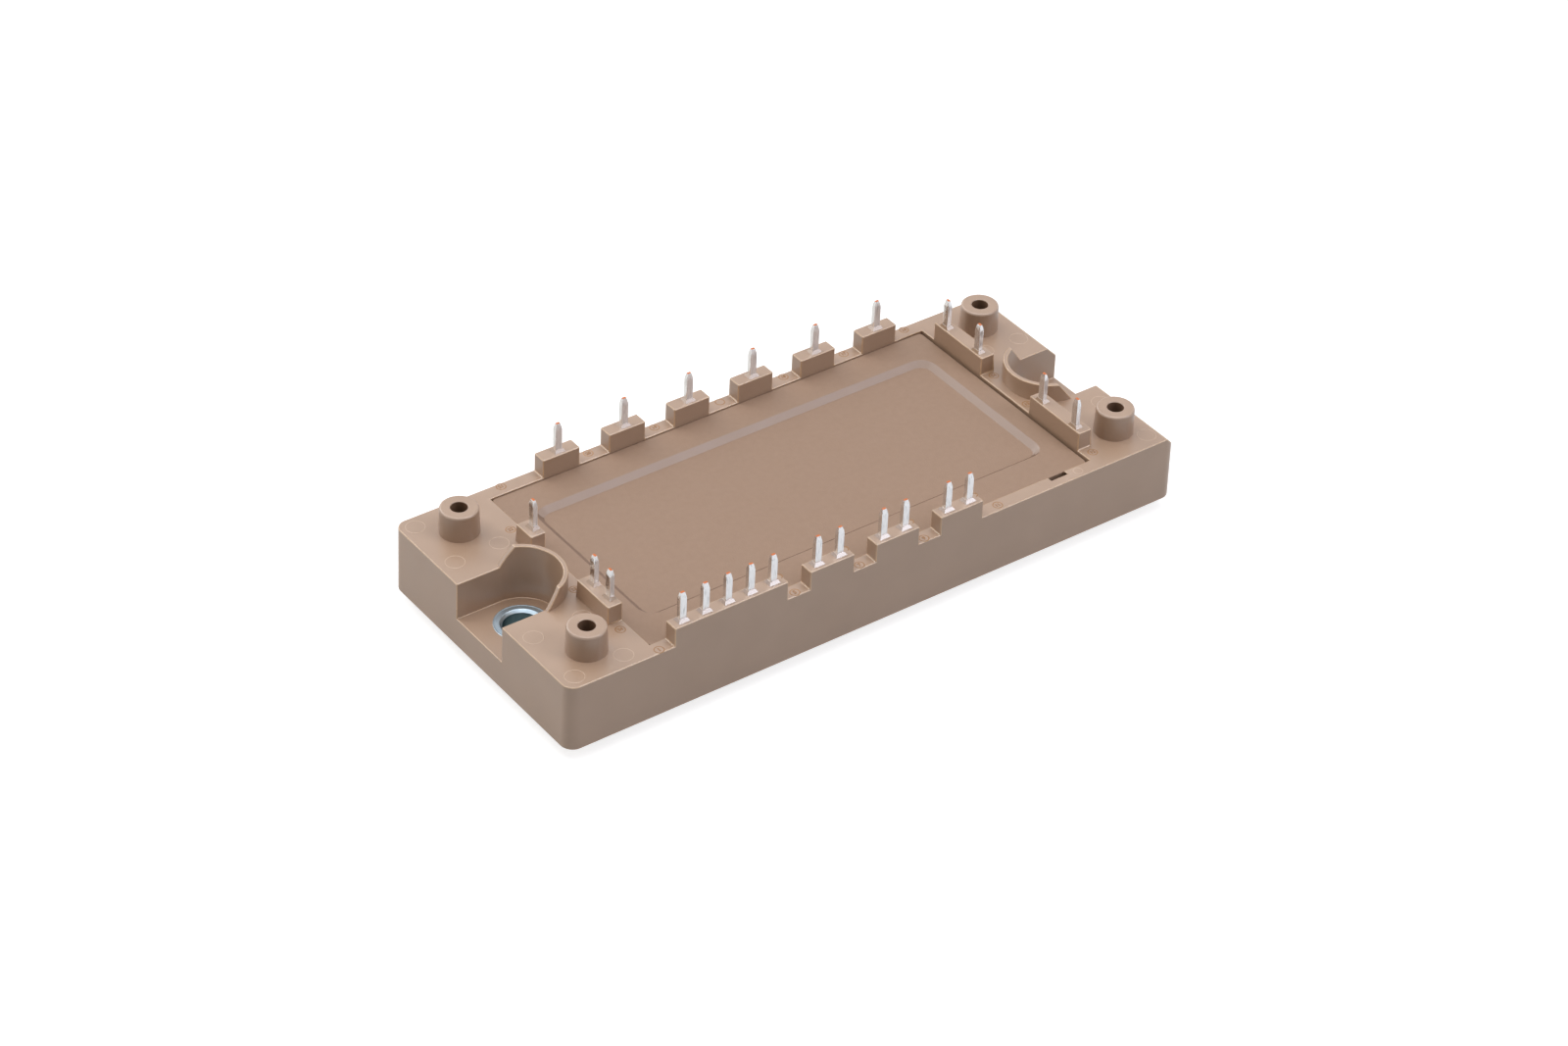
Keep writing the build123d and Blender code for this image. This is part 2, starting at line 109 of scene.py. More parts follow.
def dress(solid, finish):
    """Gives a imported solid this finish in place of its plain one."""
    solid.data.materials.clear()
    solid.data.materials.append(finish)


nickel, shader = new_finish("nickel_plating", (0.62, 0.59, 0.54), roughness=0.3, metallic=1.0)
rolling = add_noise(nickel, size=0.0004, stretch=(40, 1, 1))
vary_roughness(nickel, shader, rolling, low=0.24, high=0.4)
roughen(nickel, shader, rolling, depth=0.000004)
dress(solids["base_plate"], nickel)

# SUBSTRATES
# Two white alumina tiles with bare copper bonded on both sides, soldered down on the base plate.
# The copper on top is etched into islands.


def tint(finish, shader, noise, dark, light, light_from=noise_high):
    """Lets the base colour run between two colours with the noise, and be light from this level on."""
    tree = finish.node_tree
    ramp = tree.nodes.new("ShaderNodeValToRGB")
    darker, lighter = ramp.color_ramp.elements
    darker.position = noise_low
    darker.color = (*dark, 1)
    lighter.position = light_from
    lighter.color = (*light, 1)
    tree.links.new(noise, ramp.inputs["Fac"])
    tree.links.new(ramp.outputs["Color"], shader.inputs["Base Color"])


alumina, shader = new_finish("fired_alumina", (0.86, 0.85, 0.81), roughness=0.55)
speckle = add_noise(alumina, size=0.0006)
tint(alumina, shader, speckle, dark=(0.80, 0.79, 0.75), light=(0.90, 0.89, 0.86))
roughen(alumina, shader, add_noise(alumina, size=0.00008), depth=0.00001)

bare_copper, shader = new_finish("bonded_copper", (0.78, 0.42, 0.27), roughness=0.35, metallic=1.0)
stains = add_noise(bare_copper, size=0.002)
tint(bare_copper, shader, stains, dark=(0.70, 0.36, 0.23), light=(0.82, 0.47, 0.32))
roughen(bare_copper, shader, add_noise(bare_copper, size=0.0001), depth=0.000006)

for side in ("left", "right"):
    dress(solids[f"substrate_ceramic_{side}"], alumina)
    dress(solids[f"substrate_bottom_copper_{side}"], bare_copper)
    dress(solids[f"substrate_circuit_{side}"], bare_copper)

# CHIPS
# Silicon dies with a bright metal face, soldered on the copper islands: seven switches with a
# diode beside each, six rectifiers, and a small dark ceramic temperature sensor.
silicon, shader = new_finish("metallised_silicon", (0.40, 0.41, 0.45), roughness=0.25, metallic=0.8)
clouds = add_noise(silicon, size=0.0005)
tint(silicon, shader, clouds, dark=(0.34, 0.35, 0.40), light=(0.46, 0.47, 0.50))
vary_roughness(silicon, shader, add_noise(silicon, size=0.0002), low=0.18, high=0.34)
for name, solid in solids.items():
    if name.startswith(("igbt", "diode", "rectifier")):
        dress(solid, silicon)

sensor_body, shader = new_finish("sintered_sensor", (0.06, 0.055, 0.05), roughness=0.6)
roughen(sensor_body, shader, add_noise(sensor_body, size=0.0001), depth=0.00001)
dress(solids["temperature_sensor"], sensor_body)

# BOND WIRES
# Thick aluminium wires, welded by ultrasound from chip to copper and from the copper up to the
# feet of the pins.
drawn_aluminium, shader = new_finish("drawn_aluminium", (0.80, 0.80, 0.81), roughness=0.35, metallic=1.0)
vary_roughness(drawn_aluminium, shader, add_noise(drawn_aluminium, size=0.0002), low=0.28, high=0.42)
for name in ("chip_bond_wires", "pin_bond_wires"):
    dress(solids[name], drawn_aluminium)

# SILICONE GEL
# Clear soft gel, poured in over the chips and wires, where it sets before the lid goes on. It keeps
# moisture and sparks away from them.
gel, shader = new_finish("clear_gel", (0.88, 0.90, 0.91), roughness=0.08)
shader.inputs["Transmission Weight"].default_value = 0.9
shader.inputs["IOR"].default_value = 1.41
vary_roughness(gel, shader, add_noise(gel, size=0.004), low=0.04, high=0.12)
dress(solids["silicone_gel"], gel)

# HOUSING
# One moulding in a satin grey-brown plastic, which holds the lid, the collars and the pins. Its edges
# are slightly rounded, and its polished mould leaves a faint cloudiness.
edge_radius = 0.00015
foot_radius = 0.0002
notch_foot_radius = 0.0001
lid_below_flange = 0.00025
block_height = 0.003
end_length = 0.0149
slot_x = 0.0325
slot_y = -0.0208
slot_half_width = 0.0016
slot_length = 0.0035
standoff_y = 0.016
pin_thickness = 0.0008

# How far the faces of each feature reach from its axis at most.
pad_reach = 0.001
standoff_reach = 0.0032
standoff_bore_reach = 0.0014
collar_seat_reach = 0.0043

# Where the front pads, the collars' seats, the blocks' feet, the well and the end's bevel lie.
front_pads_y = -0.02
seat_depth = 0.005
foot_zone = 0.003
well_margin = 0.0001
bevel_x = 0.0512
bevel_y = 0.0203
bevel_depth = 0.0003

# Lengths that the rounding of the edges needs.
short_edge = 0.00012
block_edge_room = 0.00022
same_point = 0.000001
tolerance = 0.00001

housing_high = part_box("housing")[1]
lid_low, lid_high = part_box("lid")
collar_low, collar_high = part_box("mounting_collar_right")
flange_top = lid_high.z + lid_below_flange
block_top = flange_top + block_height
notch_floor = collar_high.z
screw_x = (collar_low.x + collar_high.x) / 2
recess_end = housing_high.x - end_length


def moulded_plastic(name, dark, light, roughness, shine, grain_size, grain_depth, cloud_size=0.006):
    """Filled plastic: clouds of two near colours, a satin gloss and a fine grain."""
    gloss_patch = 0.003
    gloss_spread = 0.04
    finish, shader = new_finish(name, light, roughness)
    shader.inputs["Specular IOR Level"].default_value = shine
    tint(finish, shader, add_noise(finish, cloud_size, detail=5.0), dark, light)
    patches = add_noise(finish, gloss_patch)
    vary_roughness(finish, shader, patches, roughness - gloss_spread, roughness + gloss_spread)
    roughen(finish, shader, add_noise(finish, grain_size, detail=2.0), grain_depth)
    return finish


def finished_object(name, mesh, finishes):
    """Turns an edited mesh into an object with these finishes, and frees the mesh."""
    data = bpy.data.meshes.new(name)
    mesh.to_mesh(data)
    mesh.free()
    for finish in finishes:
        data.materials.append(finish)
    piece = bpy.data.objects.new(name, data)
    bpy.context.scene.collection.objects.link(piece)
    return piece


def shade_evenly(mesh):
    """Points each corner of a face along the faces that meet there nearly level, large ones most.

    Faces count as nearly level while the cosine of the angle between them is over 0.8.
    """
    nearly_level = 0.8
    around = {}
    for face in mesh.polygons:
        for corner in face.vertices:
            around.setdefault(corner, []).append((face.normal.copy(), face.area))
    directions = [None] * len(mesh.loops)
    for face in mesh.polygons:
        for index, corner in zip(face.loop_indices, face.vertices):
            mean = Vector()
            for normal, area in around[corner]:
                if normal.dot(face.normal) > nearly_level:
                    mean += normal * area
            directions[index] = mean.normalized()
    mesh.normals_split_custom_set(directions)


def merge_facets(mesh, cuts):
    """Cuts the faces at these places along X, and joins level faces and straight edges elsewhere."""
    flat_angle = radians(0.5)
    for place in cuts:
        parts = mesh.verts[:] + mesh.edges[:] + mesh.faces[:]
        bmesh.ops.bisect_plane(
            mesh, geom=parts, dist=same_point, plane_co=(place, 0, 0), plane_no=(1, 0, 0)
        )

    def on_a_cut(edge):
        return any(
            all(abs(corner.co.x - place) < 2 * same_point for corner in edge.verts) for place in cuts
        )

    level = [edge for edge in mesh.edges if edge.calc_face_angle(0) < flat_angle and not on_a_cut(edge)]
    bmesh.ops.dissolve_edges(mesh, edges=level, use_verts=False)
    straight = []
    for corner in mesh.verts:
        if len(corner.link_edges) == 2:
            first, second = (edge.other_vert(corner).co - corner.co for edge in corner.link_edges)
            if first.angle(second) > pi - flat_angle:
                straight.append(corner)
    bmesh.ops.dissolve_verts(mesh, verts=straight)


def rounded_copy(node, name, radius_of, finishes, finish_of, cuts=(0,), prepare=None, edge_finish_of=None):
    """The solid's own form as a new piece, with each sharp edge rounded by radius_of(edge).

    The faces are first cut at these places along X, so that none of them has a hole in it. Each
    gets the finish that finish_of(face) gives. The rounded edges get what edge_finish_of(face)
    gives, or else the finish beside them.
    """
    sharp_angle = radians(25)
    widest = 0.0004
    mesh = bmesh.new()
    mesh.from_mesh(solids[node].data)
    bmesh.ops.remove_doubles(mesh, verts=mesh.verts, dist=same_point)
    if prepare:
        prepare(mesh)
    merge_facets(mesh, cuts)
    rounding = mesh.edges.layers.float.new("bevel_weight_edge")
    for edge in mesh.edges:
        sharp = len(edge.link_faces) == 2 and edge.calc_face_angle() > sharp_angle
        radius = radius_of(edge) if sharp else 0
        edge[rounding] = radius / widest
        edge.smooth = not sharp or radius > 0
    mesh.normal_update()
    for face in mesh.faces:
        face.smooth = True
        face.material_index = finishes.index(finish_of(face))
    piece = finished_object(name, mesh, finishes)
    bevel = piece.modifiers.new("rounded_edges", "BEVEL")
    bevel.limit_method = "WEIGHT"
    bevel.width = widest
    bevel.segments = 3
    bevel.use_clamp_overlap = False
    bevel.loop_slide = False
    # The second finish marks the rounded edges until each gets its own.
    bevel.material = 1 if edge_finish_of else -1
    rounded = bpy.data.meshes.new_from_object(piece.evaluated_get(bpy.context.evaluated_depsgraph_get()))
    piece.modifiers.clear()
    piece.data = rounded
    for face in rounded.polygons:
        if edge_finish_of and face.material_index == 1:
            face.material_index = finishes.index(edge_finish_of(face))
    shade_evenly(rounded)
    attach(piece, "root")
    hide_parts(node)
    return piece


def pin_axis(name):
    """Place of a pin's upright part and the direction from it towards the module's middle."""
    low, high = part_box(name)
    place = (low + high) / 2
    place.z = 0
    along = 1 if high.x - low.x < high.y - low.y else 0
    inward = Vector()
    inward[along] = 1 if place[along] < 0 else -1
    place[along] = low[along] if place[along] < 0 else high[along]
    return place + inward * pin_thickness / 2, inward


pin_names = sorted(name for name in solids if name.startswith("pin_") and name[4:].isdigit())
pin_places = {}
pin_directions = {}
for name in pin_names:
    pin_places[name], pin_directions[name] = pin_axis(name)


def near_pin(point):
    """Whether a point above the flange belongs to the pad round a pin."""
    return point.z > flange_top and any(
        abs(point.x - place.x) < pad_reach and abs(point.y - place.y) < pad_reach
        for place in pin_places.values()
    )


def from_axis(point, axis_y):
    """Distance of a point from the nearest of the upright axes at X +-screw_x and Y +-axis_y."""
    return ((abs(point.x) - screw_x) ** 2 + (abs(point.y) - axis_y) ** 2) ** 0.5


def stands_upright(face):
    """Whether a face is upright or nearly so."""
    steepest = 0.3
    return abs(face.normal.z) < steepest


def make_room(mesh):
    """Takes the side pads' feet back from their block's edge and merges the bevelled end's short edges."""
    bevel_corners = [
        corner for corner in mesh.verts
        if corner.co.x > bevel_x and abs(corner.co.y) > bevel_y and corner.co.z > flange_top - bevel_depth
    ]
    bmesh.ops.remove_doubles(mesh, verts=bevel_corners, dist=short_edge)
    for corner in mesh.verts:
        past_edge = abs(corner.co.x) - recess_end
        on_block = abs(corner.co.z - block_top) < tolerance
        if on_block and tolerance < past_edge < block_edge_room and near_pin(corner.co):
            corner.co.x += (block_edge_room - past_edge) * (1 if corner.co.x > 0 else -1)


def housing_edge_radius(edge):
    """Radius of an outer edge, wider at the feet of the blocks' ends and 0 inside the module."""
    nearly_all = 0.9
    start, end = (corner.co for corner in edge.verts)
    middle = (start + end) / 2
    run = end - start
    over_well = abs(middle.x) < recess_end and abs(middle.y) < lid_high.y
    in_well = over_well and middle.z < lid_low.z + well_margin
    in_seat = middle.z < flange_top - seat_depth and from_axis(middle, 0) < collar_seat_reach
    if in_well or in_seat or near_pin(middle):
        return 0
    if edge.is_convex:
        return edge_radius
    if abs(middle.z - notch_floor) < tolerance:
        return notch_foot_radius
    at_block_end = abs(run.x if abs(middle.x) > recess_end else run.y) > nearly_all * run.length
    beside_recess = abs(middle.x) < recess_end + foot_zone and abs(middle.z - flange_top) < tolerance
    return foot_radius if at_block_end and beside_recess else 0


housing_plastic = moulded_plastic(
    "satin_moulding", dark=(0.375, 0.249, 0.168), light=(0.40, 0.269, 0.185),
    roughness=0.34, shine=1.0, grain_size=0.00012, grain_depth=0.000004,
)
pad_plastic = moulded_plastic(
    "polished_pads", dark=(0.375, 0.249, 0.168), light=(0.40, 0.269, 0.185),
    roughness=0.16, shine=1.0, grain_size=0.0002, grain_depth=0.000002,
)
polish = pad_plastic.node_tree.nodes["Principled BSDF"].inputs
polish["Coat Weight"].default_value = 1.0
polish["Coat Roughness"].default_value = 0.05
polish["Coat IOR"].default_value = 1.75
# The pads behind the front row are glossier and painted lighter, a painted highlight.
far_pad_highlight_plastic = moulded_plastic(
    "painted_highlight_pads", dark=(0.41, 0.28, 0.19), light=(0.44, 0.305, 0.21),
    roughness=0.14, shine=1.0, grain_size=0.0002, grain_depth=0.000002,
)
# Painted shade: the standoffs' holes are coloured dark brown for the shade deep inside them.
bore_shade_plastic = moulded_plastic(
    "painted_bore_shade", dark=(0.17, 0.10, 0.06), light=(0.20, 0.12, 0.075),
    roughness=0.8, shine=0.1, grain_size=0.0001, grain_depth=0.00002,
)
# Painted shade: the pry slot is coloured almost black for the shade inside it.
slot_shade_plastic = moulded_plastic(
    "painted_slot_shade", dark=(0.035, 0.022, 0.014), light=(0.05, 0.03, 0.02),
    roughness=0.8, shine=0.1, grain_size=0.0001, grain_depth=0.00002,
)
# Painted shade: the standoffs' sides are coloured a little darker than the rest of the housing.
standoff_shade_plastic = moulded_plastic(
    "painted_standoff_shade", dark=(0.325, 0.212, 0.143), light=(0.35, 0.230, 0.157),
    roughness=0.34, shine=1.0, grain_size=0.00012, grain_depth=0.000004,
)
# Painted highlight: the rounded edges are coloured lighter than the housing.
edge_highlight_plastic = moulded_plastic(
    "painted_edge_highlight", dark=(0.47, 0.315, 0.195), light=(0.51, 0.34, 0.21),
    roughness=0.2, shine=1.0, grain_size=0.0002, grain_depth=0.000003,
)
# Painted highlight: the upright rounded edges are coloured lighter still.
upright_highlight_plastic = moulded_plastic(
    "painted_upright_highlight", dark=(0.60, 0.41, 0.25), light=(0.66, 0.45, 0.28),
    roughness=0.3, shine=0.9, grain_size=0.0002, grain_depth=0.000003,
)


def housing_finish(face):
    """Finish of a face: the pry slot, the pads and the standoffs' holes and sides have their own."""
    middle = face.calc_center_median()
    beside_slot = abs(middle.x - slot_x) < slot_half_width and slot_y < middle.y < slot_y + slot_length
    if beside_slot and middle.z < flange_top - tolerance:
        return slot_shade_plastic
    if middle.z > block_top + tolerance and near_pin(middle):
        return pad_plastic if middle.y < front_pads_y else far_pad_highlight_plastic
    from_standoff = from_axis(middle, standoff_y)
    if from_standoff < standoff_bore_reach and middle.z < housing_high.z - tolerance:
        return bore_shade_plastic
    return standoff_shade_plastic if from_standoff < standoff_reach and stands_upright(face) else housing_plastic


def housing_edge_finish(face):
    """Finish of a rounded edge: painted highlight, brightest where upright, and plain on the standoffs."""
    if from_axis(face.center, standoff_y) < standoff_reach:
        return housing_plastic
    return upright_highlight_plastic if stands_upright(face) else edge_highlight_plastic


housing = rounded_copy(
    "housing", "housing_moulding", housing_edge_radius,
    (
        housing_plastic, edge_highlight_plastic, pad_plastic, bore_shade_plastic, upright_highlight_plastic, slot_shade_plastic,
        standoff_shade_plastic, far_pad_highlight_plastic,
    ),
    housing_finish,
    cuts=sorted({0, screw_x, -screw_x} | {place.x for place in pin_places.values()}),
    prepare=make_room,
    edge_finish_of=housing_edge_finish,
)

# MARKS IN THE HOUSING
# The mould leaves low ridges on the flange: a number in a ring beside the end pins, the outlines
# of its round ejector pins, and a small gate scar on each front block.
mark_height = 0.00004
mark_overlap = 0.000004
ring_radius = 0.0007
ring_width = 0.00018
number_places = {
    "1": (-0.03837, -0.02155), "5": (-0.01546, -0.0215), "7": (-0.0042, -0.02145),
    "9": (0.00714, -0.02155), "11": (0.02077, -0.02113), "12": (0.04043, -0.01864),
    "13": (0.04, -0.00391), "14": (0.04044, 0.00457), "16": (0.03655, 0.02155),
    "17": (0.02505, 0.0214), "18": (0.01394, 0.0215), "19": (-0.00941, 0.0214),
    "20": (-0.02105, 0.0214), "21": (-0.03597, 0.0215), "22": (-0.04038, 0.01223),
    "23": (-0.04054, -0.00411), "24": (-0.04027, -0.01501),
}
empty_ring_place = (0.0023, 0.0214)
single_digit_size = 0.00098
double_digit_size = 0.00082
stroke_growth = 0.00002
ejector_radius = 0.0014
ejector_edge_width = 0.00012
ejector_places = [
    (-0.0512, 0.0201), (-0.0511, -0.02), (-0.0509, 0.0102), (-0.0511, -0.0099), (-0.043, -0.0198),
    (-0.0434, 0.0105), (-0.043, -0.0098), (0.0498, 0.0201), (0.0497, 0.0102), (0.0495, -0.0095),
    (0.0498, -0.0197), (0.0434, 0.0105),
]
small_ejector_radius = 0.0007
small_ejector_place = (0.03571, -0.02103)
scar_radius = 0.0004
scar_width = 0.00016
scar_height = 0.00012
scar_y = -0.0205
scar_places_x = (-0.01745, -0.00602, 0.00541, 0.01684)


def close_profile(mesh, near, far):
    """Joins two triangles of a low ridge by two smooth slopes and a flat underside with sharp edges."""
    for side in range(3):
        after = (side + 1) % 3
        face = mesh.faces.new((near[side], near[after], far[after], far[side]))
        face.smooth = side < 2
    for edge in face.edges:
        edge.smooth = False


def ridge(mesh, centre, radius, width, height, start=0.0, turn=2 * pi, steps=40):
    """Adds a low ridge along an arc on the flange or on a block."""
    profiles = []
    closed = turn == 2 * pi
    for step in range(steps if closed else steps + 1):
        angle = start + turn * step / steps
        out = Vector((cos(angle), sin(angle), 0))
        profiles.append([
            mesh.verts.new(centre + out * (radius - width / 2)),
            mesh.verts.new(centre + out * radius + Vector((0, 0, height))),
            mesh.verts.new(centre + out * (radius + width / 2)),
        ])
    for near, far in zip(profiles, profiles[1:] + (profiles[:1] if closed else [])):
        close_profile(mesh, near, far)
    if not closed:
        mesh.faces.new(profiles[0])
        mesh.faces.new(list(reversed(profiles[-1])))


# The ridges are coloured darker and more ochre than the flange.
mark_plastic = moulded_plastic(
    "darker_ochre_ridges", dark=(0.29, 0.15, 0.065), light=(0.39, 0.21, 0.10),
    roughness=0.4, shine=0.4, grain_size=0.0001, grain_depth=0.000003,
)
flange_level = flange_top - mark_overlap
mesh = bmesh.new()
for x, y in [*number_places.values(), empty_ring_place]:
    ridge(mesh, Vector((x, y, flange_level)), ring_radius, ring_width, mark_height)
for x in scar_places_x:
    scar = Vector((x, scar_y, block_top - mark_overlap))
    ridge(mesh, scar, scar_radius, scar_width, scar_height, start=-pi / 2, turn=pi, steps=16)
bmesh.ops.recalc_face_normals(mesh, faces=mesh.faces)
marks = finished_object("mould_marks", mesh, [mark_plastic])
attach(marks, "root")

# Painted highlight: the ejector pins' outlines are coloured lighter than the flange.
ejector_highlight_plastic = moulded_plastic(
    "painted_ejector_highlight", dark=(0.47, 0.33, 0.225), light=(0.52, 0.37, 0.26),
    roughness=0.3, shine=0.9, grain_size=0.0001, grain_depth=0.000003,
)
mesh = bmesh.new()
for x, y in ejector_places:
    centre = Vector((x, y, flange_level))
    ridge(mesh, centre, ejector_radius, ejector_edge_width, mark_height, steps=64)
centre = Vector((*small_ejector_place, flange_level))
ridge(mesh, centre, small_ejector_radius, ejector_edge_width, mark_height)
bmesh.ops.recalc_face_normals(mesh, faces=mesh.faces)
ejector_rings = finished_object("ejector_rings", mesh, [ejector_highlight_plastic])
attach(ejector_rings, "root")

for label, (x, y) in number_places.items():
    digits = bpy.data.curves.new(f"number_{label}", "FONT")
    digits.body = label
    digits.size = single_digit_size if len(label) == 1 else double_digit_size
    digits.align_x = "CENTER"
    digits.align_y = "CENTER"
    digits.extrude = mark_height
    digits.offset = stroke_growth
    digits.resolution_u = 3
    digits.materials.append(mark_plastic)
    number = bpy.data.objects.new(f"number_{label}", digits)
    bpy.context.scene.collection.objects.link(number)
    number.location = (x, y, flange_top)
    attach(number, "root")

# MOUNTING COLLARS
# Turned steel bushes with a blue zinc plating, moulded into the notch floors. A fine knurl round
# the rim holds each in the plastic.
collar_radius = (collar_high.y - collar_low.y) / 2
collar_bore_reach = 0.0032
collar_edge_radius = 0.00006
knurl_teeth = 64
knurl_width = 0.0002
knurl_crest = 0.00008
knurl_height = 0.00003
tooth_tip = 0.00008
tooth_gap = -0.00002

zinc, shader = new_finish("blue_zinc", (0.45, 0.55, 0.62), roughness=0.4, metallic=1.0)
clouds = add_noise(zinc, size=0.0012)
tint(zinc, shader, clouds, dark=(0.40, 0.50, 0.57), light=(0.50, 0.60, 0.66))
roughen(zinc, shader, add_noise(zinc, size=0.00015), depth=0.000005)

# Painted shade: the plating in the bore is coloured dark teal for the shade inside it.
bore_shade_zinc, shader = new_finish("painted_zinc_shade_in_bore", (0.15, 0.24, 0.28), roughness=0.35, metallic=1.0)
clouds = add_noise(bore_shade_zinc, size=0.0012)
tint(bore_shade_zinc, shader, clouds, dark=(0.13, 0.22, 0.26), light=(0.18, 0.27, 0.31))
roughen(bore_shade_zinc, shader, add_noise(bore_shade_zinc, size=0.00015), depth=0.000005)


def collar_finish(face):
    """Finish of a face: painted shade darkens the plating in the bore."""
    in_bore = from_axis(face.calc_center_median(), 0) < collar_bore_reach and stands_upright(face)
    return bore_shade_zinc if in_bore else zinc


for side, centre_x in (("left", -screw_x), ("right", screw_x)):
    collar = rounded_copy(
        f"mounting_collar_{side}", f"screw_collar_{side}", lambda edge: collar_edge_radius,
        (zinc, bore_shade_zinc), collar_finish, cuts=(centre_x,),
    )
    mesh = bmesh.new()
    base = Vector((centre_x, 0, notch_floor))
    profiles = []
    for step in range(2 * knurl_teeth):
        angle = pi * step / knurl_teeth
        out = Vector((cos(angle), sin(angle), 0))
        reach = collar_radius + (tooth_tip if step % 2 else tooth_gap)
        profiles.append([
            mesh.verts.new(base + out * (collar_radius - knurl_width)),
            mesh.verts.new(base + out * (collar_radius - knurl_crest) + Vector((0, 0, knurl_height))),
            mesh.verts.new(base + out * reach),
        ])
    for near, far in zip(profiles, profiles[1:] + profiles[:1]):
        close_profile(mesh, near, far)
    for face in mesh.faces:
        face.smooth = False
    bmesh.ops.recalc_face_normals(mesh, faces=mesh.faces)
    knurl = finished_object(f"collar_knurl_{side}", mesh, [zinc])
    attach(knurl, "root")

# SOLDER PINS
# Each is cut from tin-plated copper strip and bent to an L. The tip is pressed to a blunt point,
# and its cut end shows the bare copper. The faces that look along X are smooth and mirror the
# housing.
pin_width = 0.00115
pin_corner = 0.00012
tip_length = 0.0011
tip_width = 0.00065
tip_thickness = 0.00038
tip_steps = 6
tip_curve = 1.5
smooth_side = 0.6

tin, shader = new_finish("bright_tin", (0.86, 0.88, 0.89), roughness=0.2, metallic=0.5)
streaks = add_noise(tin, size=0.00012, stretch=(1, 1, 14))
tint(tin, shader, streaks, dark=(0.52, 0.54, 0.55), light=(0.96, 0.97, 0.98), light_from=0.46)
vary_roughness(tin, shader, streaks, low=0.1, high=0.25)
roughen(tin, shader, add_noise(tin, size=0.0003), depth=0.00001)

smooth_tin, shader = new_finish("smooth_tin", (0.82, 0.81, 0.79), roughness=0.12, metallic=0.95)
streaks = add_noise(smooth_tin, size=0.00012, stretch=(1, 1, 14))
tint(smooth_tin, shader, streaks, dark=(0.60, 0.58, 0.55), light=(0.90, 0.89, 0.87))
vary_roughness(smooth_tin, shader, streaks, low=0.08, high=0.2)
roughen(smooth_tin, shader, add_noise(smooth_tin, size=0.0004), depth=0.00003)

cut_copper, shader = new_finish("cut_copper", (0.55, 0.15, 0.04), roughness=0.5, metallic=0.3)
grain = add_noise(cut_copper, size=0.0002)
tint(cut_copper, shader, grain, dark=(0.47, 0.11, 0.025), light=(0.62, 0.19, 0.06))

pin_finishes = (tin, cut_copper, smooth_tin)


def strip_outline(width, thickness, corner):
    """Outline of the strip as points (across, through), with small round corners."""
    points = []
    for quarter in range(4):
        turn = quarter * pi / 2 + pi / 4
        across = (width / 2 - corner) * (1 if cos(turn) > 0 else -1)
        through = (thickness / 2 - corner) * (1 if sin(turn) > 0 else -1)
        for step in (-1, 0, 1):
            angle = turn + step * pi / 4
            points.append((across + corner * cos(angle), through + corner * sin(angle)))
    return points


def pin_sections(name):
    """Middle, width, thickness and through direction of a pin's sections, from its foot to its tip."""
    low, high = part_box(name)
    place = pin_places[name]
    inward = pin_directions[name]
    up = Vector((0, 0, 1))
    reach = (high - low).dot(Vector((abs(inward.x), abs(inward.y), 0))) - pin_thickness / 2
    foot_middle = place + up * (low.z + pin_thickness / 2)
    shoulder = high.z - tip_length
    sections = [
        (foot_middle + inward * reach, pin_width, pin_thickness, up),
        (foot_middle, pin_width, pin_thickness, up - inward),
        (place + up * shoulder, pin_width, pin_thickness, -inward),
    ]
    for step in range(1, tip_steps + 1):
        share = step / tip_steps
        narrowing = share ** tip_curve
        sections.append((
            place + up * (shoulder + tip_length * share),
            pin_width + (tip_width - pin_width) * narrowing,
            pin_thickness + (tip_thickness - pin_thickness) * narrowing,
            -inward,
        ))
    return sections


for name in pin_names:
    inward = pin_directions[name]
    across = Vector((-inward.y, inward.x, 0))
    mesh = bmesh.new()
    loops = []
    for middle, width, thickness, through in pin_sections(name):
        outline = strip_outline(width, thickness, pin_corner * width / pin_width)
        loops.append([mesh.verts.new(middle + across * a + through * t) for a, t in outline])
    for lower, upper in zip(loops, loops[1:]):
        for index in range(len(lower)):
            after = (index + 1) % len(lower)
            mesh.faces.new((lower[index], lower[after], upper[after], upper[index]))
    mesh.faces.new(list(reversed(loops[0])))
    cut_end = mesh.faces.new(loops[-1])
    cut_end.material_index = pin_finishes.index(cut_copper)
    bmesh.ops.recalc_face_normals(mesh, faces=mesh.faces)
    mesh.normal_update()
    for face in mesh.faces:
        face.smooth = True
        if abs(face.normal.x) > smooth_side:
            face.material_index = pin_finishes.index(smooth_tin)
    pin = finished_object(f"solder_{name}", mesh, pin_finishes)
    shade_evenly(pin.data)
    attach(pin, "root")
    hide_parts(name)

# LID
# A plate in the same plastic with a fine matt texture, pressed into the recess of the housing. Its
# middle is sunk. The slopes round it are smooth at the back and right, painted shade in front and left.
lid_edge_radius = 0.0001

lid_plastic = moulded_plastic(
    "matt_moulding", dark=(0.303, 0.200, 0.140), light=(0.319, 0.212, 0.149),
    roughness=0.55, shine=0.32, grain_size=0.00025, grain_depth=0.00003, cloud_size=0.0009,
)
bevel_plastic = moulded_plastic(
    "smooth_bevel", dark=(0.27, 0.18, 0.132), light=(0.29, 0.195, 0.142),
    roughness=0.4, shine=0.72, grain_size=0.0002, grain_depth=0.000003,
)
# Painted shade: the front slope, which looks along +Y, is coloured dark for the shade on it.
groove_shade_plastic = moulded_plastic(
    "painted_groove_shade", dark=(0.19, 0.125, 0.088), light=(0.23, 0.15, 0.108),
    roughness=0.8, shine=0.1, grain_size=0.0002, grain_depth=0.00001,
)
